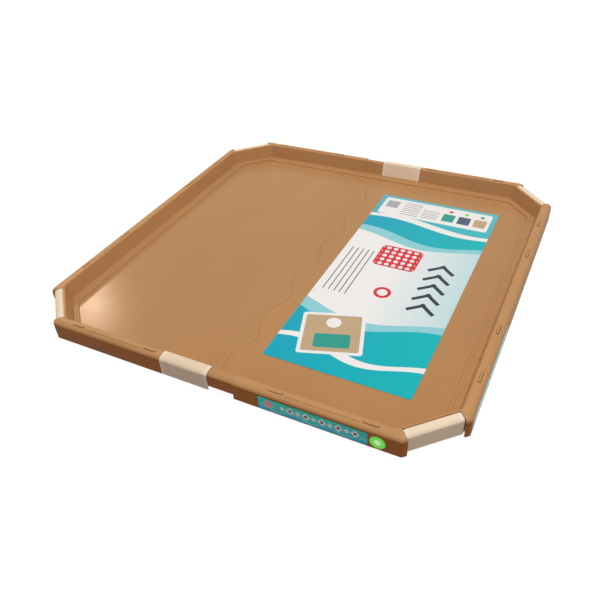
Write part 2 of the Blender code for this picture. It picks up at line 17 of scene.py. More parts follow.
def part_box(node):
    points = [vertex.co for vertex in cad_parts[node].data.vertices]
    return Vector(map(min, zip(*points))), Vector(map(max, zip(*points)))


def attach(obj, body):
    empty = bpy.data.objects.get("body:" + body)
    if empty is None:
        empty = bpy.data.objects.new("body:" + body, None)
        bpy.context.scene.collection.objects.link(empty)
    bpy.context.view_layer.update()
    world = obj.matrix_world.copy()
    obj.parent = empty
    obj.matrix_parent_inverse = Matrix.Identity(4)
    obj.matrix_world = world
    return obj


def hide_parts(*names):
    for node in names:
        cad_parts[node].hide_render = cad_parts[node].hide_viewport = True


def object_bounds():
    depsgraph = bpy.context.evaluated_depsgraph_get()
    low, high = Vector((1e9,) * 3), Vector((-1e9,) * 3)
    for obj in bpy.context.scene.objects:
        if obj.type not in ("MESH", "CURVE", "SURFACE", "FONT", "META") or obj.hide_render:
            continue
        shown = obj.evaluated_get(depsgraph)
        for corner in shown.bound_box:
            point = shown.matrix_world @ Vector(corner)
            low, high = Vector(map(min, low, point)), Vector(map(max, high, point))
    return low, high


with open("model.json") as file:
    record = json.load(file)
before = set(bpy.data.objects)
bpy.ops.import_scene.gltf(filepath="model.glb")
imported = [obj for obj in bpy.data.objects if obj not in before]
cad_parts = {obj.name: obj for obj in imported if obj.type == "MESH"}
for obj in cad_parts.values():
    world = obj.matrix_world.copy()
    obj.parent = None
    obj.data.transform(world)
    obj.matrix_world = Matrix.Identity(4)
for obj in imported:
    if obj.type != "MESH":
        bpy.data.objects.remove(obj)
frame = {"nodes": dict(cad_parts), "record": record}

bl_info = {
    "name": "Training pad holder",
    "version": (1, 0, 0),
    "blender": (4, 5, 0),
    "location": "3D View > Sidebar > Pad holder",
    "description": "Builds the mouldings, labels, finishes and stage of a training pad holder",
    "category": "Object",
}

CAD_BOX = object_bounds()
SPAN = CAD_BOX[1][0] - CAD_BOX[0][0]
BODY_OF = {node: body for body, nodes in frame["record"]["behaviour"]["bodies"].items() for node in nodes}
# Each corner, and which way along Y its latch and pin run as they go towards +X
CORNERS = {"front_left": -1, "front_right": 1, "back_left": 1, "back_right": -1}

# Merging and smoothing of copied solids
MERGE_DISTANCE = 0.000005
FLAT_ANGLE = math.radians(0.5)
EDGE_ANGLE = math.radians(35)
SMOOTH_ANGLE = math.radians(32)
EDGE_SEGMENTS = 2
EVEN_WEIGHT = 100          # how much the large faces lead the shading of the edges
ON_FACE = 0.00001          # how near a point lies to the face that it belongs to
SQUARE = 0.999             # cosine above which a direction counts as along an axis
FLANGE_LEVEL = 0.98        # the same for the flange's sloping top
FLANGE_SEGMENTS = 4
LEVEL_DIGITS = 5           # decimals to which heights are told apart

# Pins, feet and labels
PIN_SIDES = 32
PIN_ROUND = 0.25           # rounding of a pin's ends, in shares of its radius
FOOT_SIDES = 48
FOOT_RING = 0.18           # flat ring that a foot stands on, in shares of its radius
FOOT_SLOPE = 0.08          # sloping ring inside it, up to the raised middle
FOOT_PLATE = 0.30          # outer ring of the raised middle
FOOT_DISH = 0.25           # how far the middle is raised, in shares of the foot's height
FOOT_ROUND = 0.20          # rounding of a foot's edges, in shares of its height
LABEL_CORNER = 0.0025      # rounding of the card's corners
STRIP_CORNER = LABEL_CORNER / 2
CORNER_SEGMENTS = 6
STICKER_SIDES = 64
SHEET_ROUND = 0.25         # rounding of a printed sheet's edge, in shares of its thickness
PRINT_BLUR = 0.0002        # softness of a printed edge

# Patterns: size of the patches, detail, stretch, range of the noise and the two values it is carried to
FLOW = (0.11, 3, (1, 0.35, 1), (0.3, 0.7), (0.955, 1.035))
SPECK = (0.004, 2, (1, 1, 1), (0.35, 0.75), (1, 0.98))
DUST = (0.006, 3, (1, 1, 1), (0.45, 0.75), (0, 0.35))
SCUFF = (0.05, 3, (1, 2, 1), (0.35, 0.7))
SCUFF_STEPS = (-0.015, 0.02)       # what the scuffs take from the roughness and add to it
# Bumps: size of the patches, detail and height
SWELL = (0.06, 1, 0.0001)
TOOTH = (0.0007, 2, 0.00006)
PAPER = ((0.018, 2, 0.00012), (0.0012, 1, 0.000008))
GRAIN_DETAIL = 1
GRAIN_HEIGHT = 0.000005

# Finishes
PLASTIC_IOR = 1.32
PLASTIC_SPECULAR = 0.30
PLAIN_GLOSS = (1, 1, 1)
TAN_GLOSS = (1, 0.80, 0.60)
TAN_ROUGHNESS = 0.21
SKIRT_ROUGHER = 0.25               # what the upright outer faces add to the roughness
SKIRT_DEPTHS = (0.008, 0.004)      # how far inside the outline their painted shade, a deeper tone, starts and is full
SKIRT_HEIGHTS = (0.0225, 0.0260)   # heights where the painted shade starts to fade and is gone
TOP_ROUGHER = 0.20                 # what the rim's top adds to the roughness
TOP_DEPTHS = (0.0028, 0.0012)      # how far under the holder's highest point its painted light, a lighter tone, starts and is full
PALE_ROUGHNESS = 0.42
LATCH_TONE = 1.08                  # colour of the latches, in shares of the clips'
PIN_ROUGHNESS = 0.28
RUBBER_ROUGHNESS = 0.82
DUST_TONE = 1.9                    # colour of dusty rubber, in shares of the clean
PAPER_ROUGHNESS = 0.34
FILM_ROUGHNESS = 0.30
PRINT_SPECULAR = 0.25

# A fade of a print: the share of its size at which it starts, and its strength at the far end
GROUND_FADE = (0, 1)
MIST_FADE = (0.45, 0.55)
FAR_FADE = (0.7, 0.4)
STRIP_FADE = (0.5, 0.35)

# Print of the floor card, in shares of its width and length; corners, dots and pitches are lengths
# A wave: its level, height, length and start, and the paint of all that lies in front of it
CARD_WAVES = (
    (0.845, 0.022, 1.25, 0.4, "white"), (0.820, 0.022, 1.25, 0.7, "ground"),
    (0.735, 0.028, 1.10, 1.2, "aqua"), (0.700, 0.026, 1.10, 1.6, "mist"),
    (0.275, 0.036, 1.30, 2.6, "aqua"), (0.235, 0.040, 1.30, 2.9, "ground"),
    (0.105, 0.024, 0.90, 0.3, "white"), (0.080, 0.024, 0.90, 0.6, "ground"),
)
# A block: its middle, half its size, corner, turn in degrees and paint
CARD_BLOCKS = (
    (0.500, 0.925, 0.460, 0.060, 0.0040, 0, "white"),
    (0.625, 0.914, 0.050, 0.026, 0.0015, 0, "teal"),
    (0.755, 0.914, 0.050, 0.026, 0.0015, 0, "grey"),
    (0.885, 0.914, 0.050, 0.026, 0.0015, 0, "sand"),
    (0.440, 0.600, 0.165, 0.062, 0.0080, 0, "coral"),
    (0.330, 0.160, 0.215, 0.092, 0.0040, 18, "white"),
    (0.330, 0.160, 0.190, 0.081, 0.0030, 18, "sand"),
    (0.360, 0.128, 0.120, 0.030, 0.0030, 18, "teal"),
)
# A spot: its middle, radius and paint
CARD_SPOTS = (
    (0.625, 0.960, 0.0034, "coral"), (0.755, 0.960, 0.0034, "green"), (0.885, 0.960, 0.0034, "teal"),
    (0.300, 0.205, 0.0100, "white"), (0.480, 0.400, 0.0125, "coral"), (0.480, 0.400, 0.0075, "white"),
)
# A field of bars: its middle, half its size, pitch (below 0 for upright bars), bar width and paint
CARD_BARS = (
    (0.300, 0.925, 0.075, 0.045, 0.0062, 0.0013, "grey"),
    (0.470, 0.912, 0.070, 0.032, 0.0055, 0.0012, "grey"),
    (0.150, 0.480, 0.090, 0.130, -0.0085, 0.0014, "navy"),
)
# A field of dots: its middle, half its size, pitch, radius and paint
CARD_DOTS = (
    (0.440, 0.600, 0.150, 0.055, 0.0108, 0.0036, "white"),
    (0.125, 0.940, 0.052, 0.024, 0.0034, 0.0014, "navy"),
)
CARD_GREY = 3.0            # the grey paint, in shares of the navy
# Chevrons: the middle of the first, the step along the card, their number, half an arm's size and its reach
CHEVRON_START = (0.790, 0.370)
CHEVRON_STEP = 0.055
CHEVRON_COUNT = 5
CHEVRON_ARM = (0.072, 0.0066)
CHEVRON_REACH = 0.040
CHEVRON_CORNER = 0.001
CHEVRON_TURN = math.radians(40)

# Print of a strip, in shares of its height; the length of a wave is in shares of the strip's length
# A wave: as on the card
STRIP_WAVES = ((0.30, 0.14, 0.31, 0.8, "aqua"), (0.20, 0.14, 0.31, 1.1, "bright"))
STRIP_BRIGHT = 1.5         # the bright paint, in shares of the turquoise
STRIP_SPOT = (0.72, 0.56, 0.30)
# Lozenges: their number, the place of the first, what their row leaves free, their level and half sizes
LOZENGE_COUNT = 10
LOZENGE_START = 1.65
LOZENGE_MARGINS = 2.4
LOZENGE_LEVEL = 0.58
LOZENGE_HALVES = (0.13, 0.21)
LOZENGE_CORE = 0.4         # dark core, in shares of its lozenge
LOZENGE_CORNER = 0.0005
LOZENGE_TURN = math.radians(45)

# Print of the round sticker, in shares of its radius
STICKER_RING = 0.86        # inside of the darker ring
STICKER_MIDDLE = 0.42
STICKER_TONE = 0.8         # the ring's paint, in shares of the green

# Stage
SENSOR_WIDTH = 36          # in mm
WHITE = (1, 1, 1)
SKY_COLOUR = (1, 0.93, 0.84)
FLOOR_WIDTH = 20 * SPAN
FLOOR_COLOUR = (0.25, 0.21, 0.16)
# A lamp: its place, width and colour
KEY_LAMP = ((0.55, -0.05, 2.6), 0.6, (1, 0.985, 0.97))
FILL_LAMP = ((0.9, -1.6, 0.8), 1.0, (0.66, 0.68, 1))
# The lamp mirrored in the pan: the spot of its reflection, its distance from there, width and colour
GLOSS_SPOT = (-0.43 * SPAN, -0.37 * SPAN, 0)
GLOSS_LAMP = (1.6, 0.12, (1, 0.86, 0.70))


def rgb(red, green, blue):
    """Linear colour of a screen colour given from 0 to 255."""
    shares = [channel / 255 for channel in (red, green, blue)]
    return tuple(c / 12.92 if c <= 0.04045 else ((c + 0.055) / 1.055) ** 2.4 for c in shares)


def colour_setting(name, description, default):
    """Colour that a user may change."""
    return FloatVectorProperty(name=name, description=description, subtype="COLOR", min=0, max=1,
                               default=default)


def length_setting(name, description, default):
    """Length that a user may change."""
    return FloatProperty(name=name, description=description, default=default, min=0, unit="LENGTH",
                         precision=4)


def angle_setting(name, description, degrees):
    """Angle that a user may change."""
    return FloatProperty(name=name, description=description, subtype="ANGLE", default=math.radians(degrees))


def amount_setting(name, description, default, lowest=0):
    """Plain number that a user may change."""
    return FloatProperty(name=name, description=description, default=default, min=lowest)


def power_setting(name, description, default):
    """Power of a lamp that a user may change."""
    return FloatProperty(name=name, description=description, default=default, min=0, unit="POWER")


class MouldingSettings(PropertyGroup):
    """Sizes and colours of the moulded pieces."""

    edge_round: length_setting("Edge rounding", "Rounding of the moulded edges, halved on the clips", 0.00035)
    band_length: length_setting("Band length", "Length of the sloping bands at a bar's ends", 0.0024)
    latch_band: length_setting("Latch band", "Depth of the band at a latch's ends", 0.00055)
    clip_band: length_setting("Clip band", "Depth of the band at a clip's ends", 0.00035)
    # Painted highlight: the paler bands stand in for light caught by the bars' sloping ends
    highlight_band: length_setting("Pale band", "Width of the paler band at the ends of clips and latches", 0.0045)
    flange_round: length_setting("Flange rounding", "Rounding of the flange's inner edge", 0.0021)
    bead_width: length_setting("Bead width", "Width of the raised border round the flange's top", 0.0024)
    bead_height: length_setting("Bead height", "Height of the raised border round the flange's top", 0.0006)
    flange_drop: length_setting("Flange drop", "How far the flange's under face comes down", 0.0007)
    grain: length_setting("Grain", "Size of the fine grain of the mould", 0.0009)
    tan: colour_setting("Tan", "Pan halves and rim frame", rgb(195, 146, 97))
    # Painted shade: a deeper tone on the upright outer faces that stands in for the shade they are in
    tan_painted_shade: colour_setting("Tan skirt", "Their upright outer faces, deeper in tone", rgb(171, 103, 42))
    # Painted light: a lighter tone on the rim's top, so that it looks more lit
    tan_top_painted_light: colour_setting("Tan top", "Top of the rim, slightly rubbed", rgb(204, 154, 104))
    pale: colour_setting("Pale", "Clips and latches", rgb(250, 226, 197))
    # Painted highlight: a paler colour on the end bands of the clips and latches
    pale_end_highlight: colour_setting("Pale ends", "Bands at the ends of the clips and latches", rgb(255, 240, 218))
    pin: colour_setting("Pin", "Hinge pins", rgb(148, 114, 80))
    rubber: colour_setting("Rubber", "Feet", rgb(64, 59, 56))


class PrintSettings(PropertyGroup):
    """Colours of the printed card, the strips and the round sticker."""

    turquoise: colour_setting("Turquoise", "Left side of the card's ground, far end of the strips",
                              rgb(0, 176, 203))
    sea: colour_setting("Sea", "Right side of the card's ground", rgb(0, 194, 200))
    aqua: colour_setting("Aqua", "Light waves of the card and the strips", rgb(150, 222, 232))
    white: colour_setting("White", "Fields and marks of the card and the strips", rgb(255, 255, 255))
    coral: colour_setting("Coral", "Block, ring and a spot of the card", rgb(228, 48, 58))
    navy: colour_setting("Navy", "Chevrons, bars and dots, cores of the lozenges", rgb(44, 58, 72))
    sand: colour_setting("Sand", "Tiles of the card", rgb(205, 178, 140))
    teal: colour_setting("Teal", "Tiles and a spot of the card", rgb(46, 165, 150))
    mint: colour_setting("Mint", "Ground of the strips", rgb(24, 232, 214))
    pink: colour_setting("Pink", "Spot of the strips", rgb(255, 168, 178))
    green: colour_setting("Green", "Round sticker and a spot of the card", rgb(120, 228, 84))
    lime: colour_setting("Lime", "Middle of the round sticker", rgb(214, 255, 186))
    # Painted light: emission that makes the sticker glow with no lamp
    painted_glow: amount_setting("Fluorescence", "Glow of the round sticker's film", 0.40)


class StageSettings(PropertyGroup):
    """Camera, lamps and floor."""

    azimuth: angle_setting("Azimuth", "Turn of the camera about the holder", 29.01)
    elevation: angle_setting("Elevation", "Height angle of the camera", 38.18)
    roll: angle_setting("Roll", "Turn of the picture", -3.90)
    distance: amount_setting("Distance", "Camera to the aim, in widths of the holder", 1.4738)
    aim: FloatVectorProperty(name="Aim", description="Point of the ground that the camera aims at, in widths",
                             size=2, default=(0.0370, -0.1666))
    lens: amount_setting("Lens", f"Focal length for a sensor of {SENSOR_WIDTH} mm", 37.71, 1)
    key_power: power_setting("Key lamp", "Power of the lamp above the right half", 34.6)
    gloss_power: power_setting("Gloss lamp", "Power of the lamp mirrored in the left corner", 2.9)
    fill_power: power_setting("Fill lamp", "Power of the lamp at the front", 3.9)
    sky: amount_setting("Sky", "Strength of the light from all round", 0.30)
    floor_glow: amount_setting("Floor glow", "Extra white of the floor, which lights nothing", 0.93)


def take(piece):
    """Make a piece the one that the operators act on."""
    bpy.ops.object.select_all(action="DESELECT")
    piece.select_set(True)
    bpy.context.view_layer.objects.active = piece


def object_mode():
    """Close the piece that is being edited."""
    bpy.ops.object.mode_set(mode="OBJECT")


def pick(piece, kind, test):
    """Open the active piece for editing, with only those points, edges or faces selected that pass a test."""
    object_mode()
    parts = {"VERT": piece.data.vertices, "EDGE": piece.data.edges, "FACE": piece.data.polygons}
    for part in parts.values():
        part.foreach_set("select", [False] * len(part))
    for item in parts[kind]:
        item.select = test(item)
    bpy.ops.object.mode_set(mode="EDIT")
    bpy.ops.mesh.select_mode(type=kind)


def soft_copy(node, name):
    """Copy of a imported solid, with its loose triangles joined into whole faces."""
    piece = bpy.data.objects.new(name, frame["nodes"][node].data.copy())
    bpy.context.scene.collection.objects.link(piece)
    take(piece)
    bpy.ops.mesh.customdata_custom_splitnormals_clear()
    pick(piece, "FACE", lambda face: True)
    bpy.ops.mesh.remove_doubles(threshold=MERGE_DISTANCE)
    bpy.ops.mesh.dissolve_limited(angle_limit=FLAT_ANGLE)
    object_mode()
    return piece


def soften(piece, width, segments=EDGE_SEGMENTS):
    """Round the sharp edges of a piece, as far as its smallest forms allow, and shade its curves smooth."""
    take(piece)
    step = piece.modifiers.new("soften", "BEVEL")
    step.width = width
    step.segments = segments
    step.limit_method = "ANGLE"
    step.angle_limit = EDGE_ANGLE
    step.miter_outer = "MITER_ARC"
    bpy.ops.object.modifier_apply(modifier=step.name)
    bpy.ops.object.shade_smooth_by_angle(angle=SMOOTH_ANGLE)
    even = piece.modifiers.new("even", "WEIGHTED_NORMAL")
    even.mode = "FACE_AREA"
    even.weight = EVEN_WEIGHT
    even.keep_sharp = True
    bpy.ops.object.modifier_apply(modifier=even.name)


def settle(piece, node, material):
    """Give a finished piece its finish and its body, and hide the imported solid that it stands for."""
    piece.data.materials.clear()
    piece.data.materials.append(material)
    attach(piece, BODY_OF[node])
    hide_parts(node)


def new_material(name):
    """Empty material and the shader that its nodes end in."""
    material = bpy.data.materials.new(name)
    material.use_nodes = True
    tree = material.node_tree
    return material, tree, tree.nodes["Principled BSDF"]


def feed(tree, socket, value):
    """Set a socket to a value, or link it to another socket."""
    if isinstance(value, NodeSocket):
        tree.links.new(value, socket)
    else:
        socket.default_value = value


def maths(tree, operation, *values, clamp=False):
    """Result of one sum on numbers and sockets."""
    node = tree.nodes.new("ShaderNodeMath")
    node.operation = operation
    node.use_clamp = clamp
    for socket, value in zip(node.inputs, values):
        feed(tree, socket, value)
    return node.outputs["Value"]


def mixed(tree, amount, below, above):
    """Colour between two colours."""
    node = tree.nodes.new("ShaderNodeMix")
    node.data_type = "RGBA"
    feed(tree, node.inputs["Factor"], amount)
    colour_inputs = node.inputs[6:8]
    for socket, colour in zip(colour_inputs, (below, above)):
        feed(tree, socket, colour if isinstance(colour, NodeSocket) else (*colour, 1))
    colour_output = node.outputs[2]
    return colour_output


def noise(tree, size, detail, stretch=(1, 1, 1)):
    """Cloudy pattern on the object's own place, with patches of about the given size."""
    place = tree.nodes.new("ShaderNodeTexCoord")
    turn = tree.nodes.new("ShaderNodeMapping")
    turn.inputs["Scale"].default_value = stretch
    cloud = tree.nodes.new("ShaderNodeTexNoise")
    cloud.inputs["Scale"].default_value = 1 / size
    cloud.inputs["Detail"].default_value = detail
    tree.links.new(place.outputs["Object"], turn.inputs["Vector"])
    tree.links.new(turn.outputs["Vector"], cloud.inputs["Vector"])
    return cloud.outputs["Fac"]


def ramp(tree, value, low, high, to_low, to_high):
    """Value carried from one range to another, and held at its ends."""
    node = tree.nodes.new("ShaderNodeMapRange")
    for name, number in (("From Min", low), ("From Max", high), ("To Min", to_low), ("To Max", to_high)):
        node.inputs[name].default_value = number
    tree.links.new(value, node.inputs["Value"])
    return node.outputs["Result"]


def pattern(tree, size, detail, stretch, span, values):
    """Cloudy pattern, carried from a range of its noise to two values."""
    return ramp(tree, noise(tree, size, detail, stretch), *span, *values)


def add_bumps(tree, shader, *layers):
    """Lay bumps over one another, each with its patch size, detail and height."""
    normal = None
    for size, detail, height in layers:
        bump = tree.nodes.new("ShaderNodeBump")
        bump.inputs["Strength"].default_value = 1.0
        bump.inputs["Distance"].default_value = height
        tree.links.new(noise(tree, size, detail), bump.inputs["Height"])
        if normal:
            tree.links.new(normal, bump.inputs["Normal"])
        normal = bump.outputs["Normal"]
    tree.links.new(normal, shader.inputs["Normal"])


def shade_share(colour, share):
    """Colour made darker or lighter by a share."""
    return tuple(min(channel * share, 1) for channel in colour)


def shaded(tree, colour, share):
    """Colour made darker or lighter by a share that varies over the surface."""
    node = tree.nodes.new("ShaderNodeVectorMath")
    node.operation = "SCALE"
    feed(tree, node.inputs[0], colour)
    feed(tree, node.inputs["Scale"], share)
    return node.outputs["Vector"]


def plastic(name, colour, roughness, grain, gloss_tint=PLAIN_GLOSS, zones=()):
    """Satin moulded plastic: slow flow marks in its colour, a fine eroded grain and faint scuffs.

    A zone is a function that makes its mask, its colour and what it adds to the roughness.
    """
    material, tree, shader = new_material(name)
    scuff = pattern(tree, *SCUFF, [roughness + step for step in SCUFF_STEPS])
    for mask, paint, rougher in zones:
        amount = mask(tree)
        # A zone's paint is painted shade on the skirts, painted light on the rim's top, or a painted
        # highlight at a bar's ends
        colour = mixed(tree, amount, colour, paint)
        scuff = maths(tree, "MULTIPLY_ADD", amount, rougher, scuff)
    tone = maths(tree, "MULTIPLY", pattern(tree, *FLOW), pattern(tree, *SPECK))
    tree.links.new(shaded(tree, colour, tone), shader.inputs["Base Color"])
    tree.links.new(scuff, shader.inputs["Roughness"])
    shader.inputs["IOR"].default_value = PLASTIC_IOR
    shader.inputs["Specular IOR Level"].default_value = PLASTIC_SPECULAR
    shader.inputs["Specular Tint"].default_value = (*gloss_tint, 1)
    add_bumps(tree, shader, (grain, GRAIN_DETAIL, GRAIN_HEIGHT), SWELL)
    return material


def rubber(name, colour):
    """Matt rubber with a fine tooth."""
    material, tree, shader = new_material(name)
    dusty = mixed(tree, pattern(tree, *DUST), colour, shade_share(colour, DUST_TONE))
    tree.links.new(dusty, shader.inputs["Base Color"])
    shader.inputs["Roughness"].default_value = RUBBER_ROUGHNESS
    add_bumps(tree, shader, TOOTH)
    return material


def object_place(tree):
    """Node with the place on the object as X, Y and Z."""
    place = tree.nodes.new("ShaderNodeTexCoord")
    split = tree.nodes.new("ShaderNodeSeparateXYZ")
    tree.links.new(place.outputs["Object"], split.inputs["Vector"])
    return split


def print_axes(tree, across, along, corner):
    """Distances along two axes of the object from a corner of the print."""
    split = object_place(tree)
    return (maths(tree, "SUBTRACT", split.outputs[across], corner[0]),
            maths(tree, "SUBTRACT", split.outputs[along], corner[1]))


def fade(tree, place, size, kind, below, above):
    """Colour that turns into another towards the far end of a print."""
    start, strength = kind
    return mixed(tree, ramp(tree, place, start * size, size, 0, strength), below, above)


def both(tree, first, second):
    """Mask of what two masks share."""
    return maths(tree, "MULTIPLY", first, second)


def edge_mask(tree, inside):
    """Mask of the area where a distance inside an outline is positive."""
    return maths(tree, "MULTIPLY_ADD", inside, 1 / PRINT_BLUR, 0.5, clamp=True)


def disc_mask(tree, u, v, middle, radius):
    """Mask of a round spot."""
    du = maths(tree, "SUBTRACT", u, middle[0])
    dv = maths(tree, "SUBTRACT", v, middle[1])
    square = maths(tree, "ADD", maths(tree, "MULTIPLY", du, du), maths(tree, "MULTIPLY", dv, dv))
    return edge_mask(tree, maths(tree, "SUBTRACT", radius, maths(tree, "SQRT", square)))


def box_mask(tree, u, v, middle, half, corner=0.0, turn=0.0):
    """Mask of a block with round corners, turned about its middle."""
    du = maths(tree, "SUBTRACT", u, middle[0])
    dv = maths(tree, "SUBTRACT", v, middle[1])
    if turn:
        cosine, sine = math.cos(turn), math.sin(turn)
        du, dv = (maths(tree, "MULTIPLY_ADD", du, cosine, maths(tree, "MULTIPLY", dv, sine)),
                  maths(tree, "MULTIPLY_ADD", dv, cosine, maths(tree, "MULTIPLY", du, -sine)))
    past = [maths(tree, "MAXIMUM", maths(tree, "SUBTRACT", maths(tree, "ABSOLUTE", d), size - corner), 0.0)
            for d, size in ((du, half[0]), (dv, half[1]))]
    square = maths(tree, "ADD", *(maths(tree, "MULTIPLY", p, p) for p in past))
    return edge_mask(tree, maths(tree, "SUBTRACT", max(corner, PRINT_BLUR), maths(tree, "SQRT", square)))


def wave_mask(tree, u, v, level, height, length, start):
    """Mask of all that lies in front of a wavy line across the print."""
    turn = maths(tree, "MULTIPLY_ADD", u, math.tau / length, start)
    line = maths(tree, "MULTIPLY_ADD", maths(tree, "SINE", turn), height, level)
    return edge_mask(tree, maths(tree, "SUBTRACT", line, v))


def stripe_mask(tree, place, middle, pitch, thick):
    """Mask of even stripes across one axis, one of them on the middle."""
    apart = maths(tree, "PINGPONG", maths(tree, "SUBTRACT", place, middle), pitch / 2)
    return edge_mask(tree, maths(tree, "SUBTRACT", thick / 2, apart))


def dot_mask(tree, u, v, middle, pitch, radius):
    """Mask of a field of round dots, one of them on the middle."""
    apart = [maths(tree, "PINGPONG", maths(tree, "SUBTRACT", place, start), pitch / 2)
             for place, start in ((u, middle[0]), (v, middle[1]))]
    return disc_mask(tree, *apart, (0, 0), radius)


def printed(name, roughness):
    """Material of a gloss print, with the paper's slight unevenness."""
    material, tree, shader = new_material(name)
    shader.inputs["Roughness"].default_value = roughness
    shader.inputs["Specular IOR Level"].default_value = PRINT_SPECULAR
    add_bumps(tree, shader, *PAPER)
    return material, tree, shader


def card_print(settings, box):
    """Printed card: waves of turquoise and white, with plain blocks, chevrons, bars, dots and tiles."""
    material, tree, shader = printed("printed_card", PAPER_ROUGHNESS)
    low, high = box
    width, length = high.x - low.x, high.y - low.y
    u, v = print_axes(tree, "X", "Y", (low.x, low.y))

    def on_card(across, along):
        """Lengths of two shares of the card."""
        return across * width, along * length

    names = ("aqua", "white", "coral", "navy", "sand", "teal", "green")
    paints = {name: getattr(settings, name) for name in names}
    paints["ground"] = fade(tree, u, width, GROUND_FADE, settings.turquoise, settings.sea)
    paints["mist"] = fade(tree, u, width, MIST_FADE, settings.white, settings.aqua)
    paints["grey"] = shade_share(settings.navy, CARD_GREY)
    colour = fade(tree, v, length, FAR_FADE, paints["ground"], settings.aqua)
    for level, height, wave, turn, paint in CARD_WAVES:
        mask = wave_mask(tree, u, v, level * length, height * length, wave * width, turn)
        colour = mixed(tree, mask, colour, paints[paint])
    for across, along, half_width, half_length, corner, turn, paint in CARD_BLOCKS:
        half = on_card(half_width, half_length)
        mask = box_mask(tree, u, v, on_card(across, along), half, corner, math.radians(turn))
        colour = mixed(tree, mask, colour, paints[paint])
    for across, along, radius, paint in CARD_SPOTS:
        mask = disc_mask(tree, u, v, on_card(across, along), radius)
        colour = mixed(tree, mask, colour, paints[paint])
    for across, along, half_width, half_length, pitch, thick, paint in CARD_BARS:
        middle = on_card(across, along)
        field = box_mask(tree, u, v, middle, on_card(half_width, half_length))
        place, start = (u, middle[0]) if pitch < 0 else (v, middle[1])
        mask = both(tree, field, stripe_mask(tree, place, start, abs(pitch), thick))
        colour = mixed(tree, mask, colour, paints[paint])
    for across, along, half_width, half_length, pitch, radius, paint in CARD_DOTS:
        middle = on_card(across, along)
        field = box_mask(tree, u, v, middle, on_card(half_width, half_length))
        mask = both(tree, field, dot_mask(tree, u, v, middle, pitch, radius))
        colour = mixed(tree, mask, colour, paints[paint])
    half = on_card(*CHEVRON_ARM)
    for step in range(CHEVRON_COUNT):
        along = CHEVRON_START[1] + CHEVRON_STEP * step
        for side in (-1, 1):
            arm = on_card(CHEVRON_START[0] + side * CHEVRON_REACH, along)
            mask = box_mask(tree, u, v, arm, half, CHEVRON_CORNER, -side * CHEVRON_TURN)
            colour = mixed(tree, mask, colour, settings.navy)
    tree.links.new(colour, shader.inputs["Base Color"])
    return material


def strip_print(settings, name, across, box):
    """Printed strip: a mint ground with a pink spot, waves and a row of small lozenges."""
    material, tree, shader = printed(name, PAPER_ROUGHNESS)
    low, high = box
    start, end = getattr(low, across.lower()), getattr(high, across.lower())
    length, height = end - start, high.z - low.z
    u, v = print_axes(tree, across, "Z", (start, low.z))
    colour = fade(tree, u, length, STRIP_FADE, settings.mint, settings.turquoise)
    paints = {"aqua": settings.aqua, "bright": shade_share(settings.turquoise, STRIP_BRIGHT)}
    for level, rise, wave, turn, paint in STRIP_WAVES:
        mask = wave_mask(tree, u, v, level * height, rise * height, wave * length, turn)
        colour = mixed(tree, mask, colour, paints[paint])
    *middle, radius = (share * height for share in STRIP_SPOT)
    colour = mixed(tree, disc_mask(tree, u, v, middle, radius), colour, settings.pink)
    room = length - LOZENGE_MARGINS * height
    for step in range(LOZENGE_COUNT):
        middle = (LOZENGE_START * height + room * step / (LOZENGE_COUNT - 1), LOZENGE_LEVEL * height)
        large = step % 2
        half = LOZENGE_HALVES[large] * height
        mask = box_mask(tree, u, v, middle, (half, half), LOZENGE_CORNER, LOZENGE_TURN)
        colour = mixed(tree, mask, colour, settings.white)
        if large:
            core = LOZENGE_CORE * half
            mask = box_mask(tree, u, v, middle, (core, core), 0, LOZENGE_TURN)
            colour = mixed(tree, mask, colour, settings.navy)
    tree.links.new(colour, shader.inputs["Base Color"])
    return material


def sticker_print(settings, box):
    """Round green sticker with a lighter middle and a thin darker ring."""
    material, tree, shader = printed("green_sticker", FILM_ROUGHNESS)
    low, high = box
    radius = (high.x - low.x) / 2
    u, v = print_axes(tree, "X", "Z", ((low.x + high.x) / 2, (low.z + high.z) / 2))
    field = disc_mask(tree, u, v, (0, 0), STICKER_RING * radius)
    middle = disc_mask(tree, u, v, (0, 0), STICKER_MIDDLE * radius)
    colour = mixed(tree, field, shade_share(settings.green, STICKER_TONE), settings.green)
    colour = mixed(tree, middle, colour, settings.lime)
    # Painted light: the print's colour also feeds the emission, so the sticker glows by itself
    for socket in ("Base Color", "Emission Color"):
        tree.links.new(colour, shader.inputs[socket])
    shader.inputs["Emission Strength"].default_value = settings.painted_glow
    return material


def skirt_painted_shade_mask(tree):
    """Mask of the painted shade on the upright outer faces, a deeper tone that fades out up the rounding of
    the rim.
    """
    place = object_place(tree)
    out = maths(tree, "MAXIMUM", *(maths(tree, "ABSOLUTE", place.outputs[axis]) for axis in "XY"))
    start, full = (SPAN / 2 - depth for depth in SKIRT_DEPTHS)
    outside = ramp(tree, out, start, full, 0, 1)
    return both(tree, outside, ramp(tree, place.outputs["Z"], *SKIRT_HEIGHTS, 1, 0))


def top_painted_light_mask(tree):
    """Mask of the painted light on the rim's top, a lighter tone."""
    start, full = (CAD_BOX[1][2] - depth for depth in TOP_DEPTHS)
    return ramp(tree, object_place(tree).outputs["Z"], start, full, 0, 1)


def tan_plastic(settings):
    """Finish of the pan halves and the rim frame, made once: painted shade on their upright outer faces and
    painted light on the rim's top.
    """
    found = bpy.data.materials.get("tan_plastic")
    zones = ((skirt_painted_shade_mask, settings.tan_painted_shade, SKIRT_ROUGHER), (top_painted_light_mask, settings.tan_top_painted_light, TOP_ROUGHER))
    return found or plastic("tan_plastic", settings.tan, TAN_ROUGHNESS, settings.grain, TAN_GLOSS, zones)


